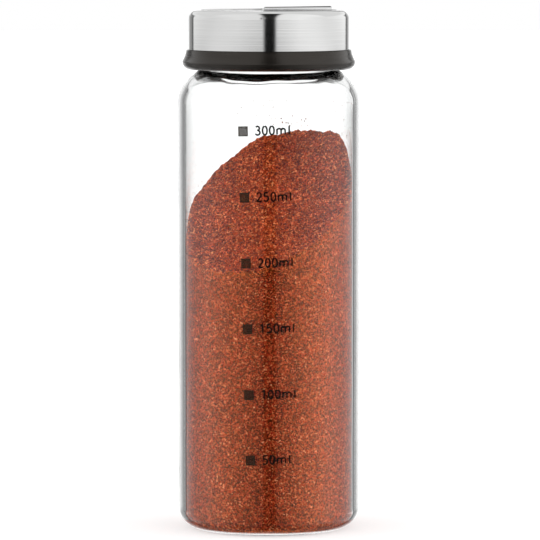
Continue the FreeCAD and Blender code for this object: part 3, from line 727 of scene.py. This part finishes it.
def scatter(name, places, sizes, flatness, material, shades, strength, limit=None):
    """One mesh of crystals: each point is place + turn x (uneven crystal x size x (1, width, flatness)).

    With a limit, points further from the jar's axis than it are drawn in to it, as if pressed on the glass.
    """
    count = len(places)
    uneven = CRYSTAL * chance.uniform(0.7, 1.15, (count, 6, 1))
    stretch = np.stack((np.ones(count), chance.uniform(0.55, 1.0, count), flatness), axis=1)
    shaped = uneven * (sizes[:, None] * stretch)[:, None, :]
    points = places[:, None, :] + np.einsum("nij,nkj->nki", turn_matrices(count), shaped)
    if limit is not None:
        points[..., :2] *= np.minimum(1, limit / np.linalg.norm(points[..., :2], axis=-1, keepdims=True))
    faces = CRYSTAL_FACES[None] + 6 * np.arange(count)[:, None, None]
    piece = make_piece(name, points.reshape(-1, 3), faces.reshape(-1, 3), material=material, smooth=False)
    shade = piece.data.attributes.new("shade", "FLOAT", "POINT")
    shade.data.foreach_set("value", np.repeat(chance.uniform(*shades, count), 6).astype(np.float32))
    colour = piece.data.attributes.new("strength", "FLOAT_COLOR", "POINT")
    colour.data.foreach_set("color", np.tile(np.array([*strength, 1.0], np.float32), 6 * count))


flake, tree, shader, _ = new_material("spice_flake")
shade = add_node(tree, "Attribute", {"attribute_name": "shade"}).outputs["Fac"]
mottle = add_node(tree, "TexNoise", Vector=object_place(tree), Scale=4200.0, Detail=2.0)
lower_shade = math_node(tree, "SUBTRACT", shade, 0.15)
uneven_shade = math_node(tree, "MULTIPLY_ADD", mottle.outputs[0], 0.3, lower_shade, clamp=True)
strength = add_node(tree, "Attribute", {"attribute_name": "strength"}).outputs["Color"]
flake_colour = mix_colour(tree, 1.0, colour_ramp(tree, uneven_shade, FLAKE_COLOURS), strength, blend="MULTIPLY")
sheen = remap(tree, shade, 0.0, 0.4, 0.1, 1.0)
fill(
    tree, shader, Base_Color=flake_colour, Roughness=0.36, IOR=2.1, Specular_IOR_Level=sheen,
    Specular_Tint=SHEEN_TINT,
)
print("crystals have", len(CRYSTAL_FACES), "faces")

# %% Scatter flakes over the slope
FLAKES = 15000
FLAKE_SIZE = 0.36 * MM
FLAKE_INSET = 0.55 * MM
reach = (FILL - FLAKE_INSET) * np.sqrt(chance.uniform(0, 1, FLAKES))
bearing = chance.uniform(0, 2 * np.pi, FLAKES)
x, y = reach * np.cos(bearing), reach * np.sin(bearing)
sizes = FLAKE_SIZE * chance.uniform(0.45, 1.1, FLAKES)
lift = chance.uniform(-0.25, 0.35, FLAKES) * MM
places = np.stack((x, y, heap_surface(x, y) + lift), axis=1)
flatness = chance.uniform(0.2, 0.6, FLAKES)
scatter("loose_flakes", places, sizes, flatness, flake, (0.14, 0.88), (1.5, 1.8, 1.6))

# %% [markdown]
# Where a grain touches the glass no air is between them, so it shows darker and clearer than the grains
# behind it. These grains are the same crystals, in a layer just inside the wall, with their outer corners
# drawn in to a radius a hair inside the glass itself.

# %% Press grains on the glass
TOUCHING = 24500
TOUCHING_RADIUS, TOUCHING_LIMIT = FILL - 0.22 * MM, FILL + 0.08 * MM
# from over the jar's heel up to half a millimetre under the slope
LOWEST_TOUCHING, LEFT_FREE = 6 * MM, 6.5 * MM
bearing = chance.uniform(0, 2 * np.pi, TOUCHING)
x, y = TOUCHING_RADIUS * np.cos(bearing), TOUCHING_RADIUS * np.sin(bearing)
level = LOWEST_TOUCHING + chance.uniform(0, 1, TOUCHING) * (heap_height(x, y) - LEFT_FREE)
sizes = MM * chance.uniform(0.18, 0.34, TOUCHING)
scatter(
    "touching_grains", np.stack((x, y, level), axis=1), sizes, chance.uniform(0.5, 0.9, TOUCHING),
    flake, (0.06, 1.0), (1.25, 1.1, 1.05), limit=TOUCHING_LIMIT,
)

# %% [markdown]
# Above the heap a little dust clings to the glass. It gets thinner with height, which an exponential draw
# gives, and its sizes follow a lognormal draw, as those of ground powders do: many fine bits and few coarse.

# %% Dust the glass above the slope
DUST = 460
DUST_START, DUST_REACH, DUST_SIZES = 1.0 * MM, 26 * MM, (0.07, 0.3)
INSIDE, DUST_LIMIT = BORE - 0.02 * MM, FILL + 0.01 * MM
bearing = chance.uniform(0, 2 * np.pi, DUST)
x, y = INSIDE * np.cos(bearing), INSIDE * np.sin(bearing)
above_heap = DUST_START + DUST_REACH * chance.exponential(0.45, DUST)
level = np.minimum(heap_height(x, y) + above_heap, SHOULDER_LEVEL)
sizes = MM * np.clip(chance.lognormal(-1.9, 0.4, DUST), *DUST_SIZES)
# a few coarser bits cling above the crest, with their middle and spread across and up in millimetres
CLING = 16
(middle_across, spread_across), (middle_up, spread_up) = (7.6, 2.9), (135.4, 1.2)
bearing = (middle_across + spread_across * chance.normal(size=CLING)) / (INSIDE / MM) - np.pi / 2
cling_level = (middle_up + spread_up * chance.normal(size=CLING)) * MM
stuck = np.stack((INSIDE * np.cos(bearing), INSIDE * np.sin(bearing), cling_level), axis=1)
places = np.concatenate((np.stack((x, y, level), axis=1), stuck))
sizes = np.concatenate((sizes, MM * chance.uniform(0.26, 0.44, CLING)))
flatness = np.full(len(places), 0.7)
scatter("glass_dust", places, sizes, flatness, flake, (0.1, 0.8), (0.45, 0.35, 0.35), limit=DUST_LIMIT)

# %% [markdown]
# ## Brushed steel
#
# The cap's shell was spun and brushed, so fine lines run round it. They smear reflections up and down but
# not sideways, which is what the Anisotropic setting does. A shader group draws the lines, with a few
# lighter and darker bands among them, for the shell, the disc and the rivet. These keep their solid parts,
# and only their finish is new.

# %% Finish the steel
brushing, out = new_group("brushed_lines", [("Shade", "Float"), ("Height", "Float")])
place = object_place(brushing)
fine = drawn_noise(brushing, place, (9, 9, 6500), 2.0)
wide = drawn_noise(brushing, place, (14, 14, 1500), 3.0)
both = math_node(brushing, "MULTIPLY_ADD", fine, 0.6, math_node(brushing, "MULTIPLY", wide, 0.4))
fill(brushing, out, Shade=remap(brushing, both, 0.34, 0.66), Height=fine)
# the disc's folded lip reaches over this level, and there the steel is painted near black as painted shade
LIP_SHADE_LEVEL, LIP_SHADE_BLEND = 172.15 * MM, 0.0001


def steel_finish(name, dark, light, roughness, painted_shade_level=None):
    """Brushed steel between two greys; the last argument is a level in metres above which the steel is painted
    near black, as painted shade.
    """
    material, tree, shader, _ = new_material(name)
    lines = use_group(tree, brushing)
    colour = mix_colour(tree, lines["Shade"], dark, light)
    # painted shade: over the given level the steel's colour turns near black
    if painted_shade_level is not None:
        level = add_node(tree, "SeparateXYZ", Vector=object_place(tree)).outputs["Z"]
        in_painted_shade = remap(tree, level, painted_shade_level, painted_shade_level + LIP_SHADE_BLEND)
        colour = mix_colour(tree, in_painted_shade, colour, (0.02, 0.02, 0.02))
    smoother = remap(tree, lines["Shade"], 0.0, 1.0, roughness + 0.04, roughness)
    bump = add_node(tree, "Bump", Height=lines["Height"], Strength=0.02, Distance=0.0001)
    fill(
        tree, shader, Base_Color=colour, Roughness=smoother, Metallic=1.0, Anisotropic=0.7,
        Normal=bump.outputs[0],
    )
    return material


shell_steel = steel_finish("brushed_steel", (0.745, 0.745, 0.74), (0.785, 0.785, 0.78), 0.06)
# the disc's lip is painted near black above a level, as painted shade
disc_steel = steel_finish("disc_steel", (0.72, 0.72, 0.72), (0.78, 0.78, 0.78), 0.09, painted_shade_level=LIP_SHADE_LEVEL)
print("steel finished")

# %% [markdown]
# ## Black plastic
#
# The collar under the shell is moulded black plastic, with a soft shine and very fine mould grain. The two
# halves of its mould meet just above the rounded lip and leave a fine raised line. Its solid part already has
# the right shape, so grain and line are bump in the finish.

# %% Finish the plastic
MOULD_LINE, LINE_CREST, LINE_FOOT, LINE_RISE = 154.2 * MM, 0.05 * MM, 0.45 * MM, 2.2
plastic, tree, shader, _ = new_material("black_plastic")
place = object_place(tree)
grit = add_node(tree, "TexNoise", Vector=place, Scale=2600.0, Detail=2.0)
mould = drawn_noise(tree, place, (60, 60, 2400), 2.0)
tone = mix_colour(tree, remap(tree, mould, 0.35, 0.65), (0.0070, 0.0058, 0.0048), (0.0125, 0.0102, 0.0084))
roughness = remap(tree, mould, 0.3, 0.7, 0.15, 0.28)
height = math_node(tree, "MULTIPLY_ADD", mould, 0.7, math_node(tree, "MULTIPLY", grit.outputs[0], 0.3))
level = add_node(tree, "SeparateXYZ", Vector=place).outputs["Z"]
off_line = math_node(tree, "ABSOLUTE", math_node(tree, "SUBTRACT", level, MOULD_LINE))
height = math_node(tree, "ADD", height, remap(tree, off_line, LINE_CREST, LINE_FOOT, LINE_RISE, 0.0))
bump = add_node(tree, "Bump", Height=height, Strength=0.5, Distance=0.00010)
fill(
    tree, shader, Base_Color=tone, Roughness=roughness, Specular_Tint=(1.0, 0.92, 0.84, 1.0),
    Normal=bump.outputs[0],
)

FINISHES = {
    "steel_shell": shell_steel, "shaker_disc": disc_steel, "pivot_rivet": shell_steel, "screw_collar": plastic,
}
for node, finish in FINISHES.items():
    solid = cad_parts[node]
    solid.data.materials.clear()
    solid.data.materials.append(finish)
print("finished:", ", ".join(FINISHES))

# %% [markdown]
# ## Printed volume scale
#
# A scale in millilitres is screen-printed up the front of the glass: a small square and a number for each
# fifty. Letters could come from a text object, but simple numerals are easily drawn as strokes: each is a
# centreline with a pen carried along it. The strokes are computed flat, in millimetres, and then wrapped
# round the glass. The print isn't quite upright on this jar, so the whole drawing is turned a little.

# %% Draw the strokes of each character
PEN = 0.54
DIGIT_WIDTH, DIGIT_HEIGHT, DIGIT_PITCH = 2.0, 3.34, 2.28
M_WIDTH, M_HEIGHT, M_GAP, SPACE_BEFORE_M = 3.2, 2.45, 0.8, 0.12
L_HEIGHT = 3.25
STATIONS = 44
BLUNT_END = 0.08


def bow(middle, radii, start, end, steps=16):
    """Points on an ellipse from one angle to another, in degrees."""
    angle = np.radians(np.linspace(start, end, steps))
    return np.column_stack((middle[0] + radii[0] * np.cos(angle), middle[1] + radii[1] * np.sin(angle)))


def line(*points):
    """Corner points of a broken line."""
    return np.array(points, float)


# each character is drawn in a box one wide and one high
ARCH = np.concatenate((line((0.0, 0.55)), bow((0.25, 0.68), (0.25, 0.32), 180, 0), line((0.5, 0.0))))
STROKES = {
    "0": [bow((0.5, 0.5), (0.5, 0.5), 90, 450, 40)],
    "1": [line((0.14, 0.80), (0.58, 1.0), (0.58, 0.0))],
    "2": [np.concatenate((bow((0.47, 0.73), (0.44, 0.27), 165, -28), line((0.0, 0.0), (1.0, 0.0))))],
    "3": [np.concatenate((
        bow((0.44, 0.77), (0.43, 0.23), 150, -80), line((0.34, 0.54)),
        bow((0.44, 0.27), (0.53, 0.27), 78, -158)))],
    "5": [np.concatenate((
        line((0.90, 1.0), (0.17, 1.0), (0.12, 0.55)), bow((0.42, 0.31), (0.55, 0.31), 118, -150)))],
    "m": [line((0.0, 0.0), (0.0, 1.0)), ARCH, ARCH + (0.5, 0.0)],
    "l": [line((0.0, 0.0), (0.0, 1.0))],
}
# how wide and high a character's centreline is, and how far it moves the pen on
DIGIT_BOX = (DIGIT_WIDTH - PEN, DIGIT_HEIGHT - PEN, DIGIT_PITCH)
LETTER_BOXES = {"m": (M_WIDTH - PEN, M_HEIGHT - PEN, M_WIDTH + M_GAP), "l": (0.0, L_HEIGHT - PEN, 0.0)}


def even_stations(path):
    """The same path as points at even steps along it, by adding up the lengths of its runs."""
    run = np.concatenate(([0.0], np.cumsum(np.linalg.norm(np.diff(path, axis=0), axis=1))))
    step = np.linspace(0, run[-1], STATIONS)
    return np.column_stack((np.interp(step, run, path[:, 0]), np.interp(step, run, path[:, 1])))


def label_strokes(label):
    """Centrelines of a label such as 250ml, in millimetres from the left end of its baseline."""
    centrelines, pen_x = [], PEN / 2
    for character in label:
        width, height, advance = LETTER_BOXES.get(character, DIGIT_BOX)
        if character == "m":
            pen_x += SPACE_BEFORE_M
        for path in STROKES[character]:
            centrelines.append(even_stations(path * (width, height) + (pen_x, PEN / 2)))
        pen_x += advance
    return np.array(centrelines)


print("300ml takes", len(label_strokes("300ml")), "strokes")

# %% Wrap the strokes and squares round the glass
LEVELS = {"300ml": 132.8, "250ml": 111.3, "200ml": 89.9, "150ml": 68.5, "100ml": 47.0, "50ml": 25.6}
LEAN = math.radians(1.3)
SQUARE = 3.25
TEXT_LEFT, TEXT_RISE = 3.9, 0.15
SQUARE_AT_TOP, SHIFT = -8.46, 2.44
SHIFT_PER_LEVEL = SHIFT / (LEVELS["300ml"] - LEVELS["50ml"])
INK_OUTSIDE, INK_INSIDE = GLASS_RADIUS - 0.007 * MM, GLASS_RADIUS - 0.027 * MM


def wrap(across, up, radius):
    """A flat drawing in millimetres wrapped on the jar's front: the angle is the arc length over R."""
    turn = across * MM / GLASS_RADIUS
    return np.stack((radius * np.sin(turn), -radius * np.cos(turn), up * MM + 0 * turn), axis=-1)


def on_label(points, level):
    """A label's own drawing, leant with the print and set beside its square."""
    across, up = points[..., 0], points[..., 1]
    start = SQUARE_AT_TOP + SHIFT_PER_LEVEL * (LEVELS["300ml"] - level)
    return (
        start + across * math.cos(LEAN) - up * math.sin(LEAN),
        level + across * math.sin(LEAN) + up * math.cos(LEAN),
    )


def pen_edges(centreline):
    """Left and right edge of each stroke: centre plus and minus the pen's half width along the normal.

    The half width shrinks over the last half pen, as sqrt(1 - (1 - s)^2), which rounds the ends. Here s runs
    from a small share, which keeps the ends a little blunt, to 1.
    """
    along = np.gradient(centreline, axis=1)
    along /= np.linalg.norm(along, axis=2, keepdims=True)
    normal = np.stack((-along[..., 1], along[..., 0]), axis=-1)
    step = np.linalg.norm(np.diff(centreline, axis=1), axis=2)
    run = np.concatenate((np.zeros((len(step), 1)), np.cumsum(step, axis=1)), axis=1)
    to_end = np.minimum(run, run[:, -1:] - run) / (PEN / 2)
    half = PEN / 2 * np.sqrt(1 - (1 - np.clip(to_end + BLUNT_END, 0, 1)) ** 2)
    return centreline + normal * half[..., None], centreline - normal * half[..., None]


def ink_corners(first, second):
    """Four corners at each station of a strip between two edges, on the ink's outside and inside."""
    edges = ((first, INK_OUTSIDE), (first, INK_INSIDE), (second, INK_INSIDE), (second, INK_OUTSIDE))
    return np.stack([wrap(*edge, radius) for edge, radius in edges], axis=-2)


def closed_strips(corners):
    """Points and faces of strips given as (strip, station, 4 corners): four sides and both end caps."""
    strips, stations = corners.shape[:2]
    index = np.arange(strips * stations * 4).reshape(strips, stations, 4)
    following = np.roll(index, -1, axis=2)
    sides = np.stack((index[:, :-1], following[:, :-1], following[:, 1:], index[:, 1:]), axis=-1)
    sides = np.moveaxis(sides, 2, 0).reshape(-1, 4)
    return corners.reshape(-1, 3), np.concatenate((sides, index[:, 0, ::-1], index[:, -1, :]))


strips = []
for label, level in LEVELS.items():
    lines = label_strokes(label) + (TEXT_LEFT, TEXT_RISE - DIGIT_HEIGHT / 2)
    strips.append(ink_corners(*(on_label(edge, level) for edge in pen_edges(lines))))
number_points, number_faces = closed_strips(np.concatenate(strips))

# a square is one short broad strip of its own: stations across, corners above and below
across = np.linspace(-SQUARE / 2, SQUARE / 2, STATIONS)
edges = [np.stack((across, np.full(STATIONS, up)), axis=-1) for up in (SQUARE / 2, -SQUARE / 2)]
squares = []
for level in LEVELS.values():
    squares.append(ink_corners(*(on_label(edge, level) for edge in edges)))
square_points, square_faces = closed_strips(np.array(squares))
print(len(number_faces), "faces of numbers,", len(square_faces), "faces of squares")

# %% [markdown]
# The ink is a dark brown-black and not quite opaque. It lies thinner inside the squares and thicker at their
# rims and in the numbers, so how much it covers is an alpha that a pattern and the drawing itself vary.

# %% Mix the ink and print the scale
COVER = 0.62, 0.68
STROKE_COVER = 0.33
RIM_FROM, RIM_TO, RIM_COVER = SQUARE / 2 - 0.42, SQUARE / 2 - 0.30, 0.22
ink, tree, shader, _ = new_material("screen_ink")
blotch = add_node(tree, "TexNoise", Vector=object_place(tree), Scale=3500.0, Detail=2.0)
thick = remap(tree, blotch.outputs[0], 0.3, 0.7)
square_colour = mix_colour(tree, thick, (0.046, 0.029, 0.018), (0.032, 0.020, 0.013))
# a square's points know their place on it in millimetres, and a number's points have zero there
drawn = add_node(tree, "Attribute", {"attribute_name": "print_place"}).outputs["Vector"]
on_square = add_node(tree, "SeparateXYZ", Vector=drawn)
off_centre = [math_node(tree, "ABSOLUTE", on_square.outputs[axis]) for axis in "XY"]
from_middle = math_node(tree, "MAXIMUM", *off_centre)
rim = remap(tree, from_middle, RIM_FROM, RIM_TO, 0.0, RIM_COVER)
on_stroke = math_node(tree, "LESS_THAN", from_middle, 0.0001)
ink_colour = mix_colour(tree, on_stroke, square_colour, (0.007, 0.006, 0.005))
strokes = math_node(tree, "MULTIPLY", on_stroke, STROKE_COVER)
cover = math_node(tree, "ADD", remap(tree, thick, 0.0, 1.0, *COVER), math_node(tree, "MAXIMUM", rim, strokes))
fill(tree, shader, Base_Color=ink_colour, Alpha=cover, Roughness=0.6, Specular_IOR_Level=0.05)
volume_scale = make_piece(
    "volume_scale",
    np.concatenate((number_points, square_points)),
    np.concatenate((number_faces, square_faces + len(number_points))),
    material=ink, smooth=False,
)
print_place = np.zeros((len(number_points) + len(square_points), 3), np.float32)
corner_up = np.array([1, 1, -1, -1]) * SQUARE / 2
print_place[len(number_points):, 0] = np.tile(np.repeat(across, 4), len(LEVELS))
print_place[len(number_points):, 1] = np.tile(corner_up, STATIONS * len(LEVELS))
place_on_square = volume_scale.data.attributes.new("print_place", "FLOAT_VECTOR", "POINT")
place_on_square.data.foreach_set("vector", print_place.ravel())
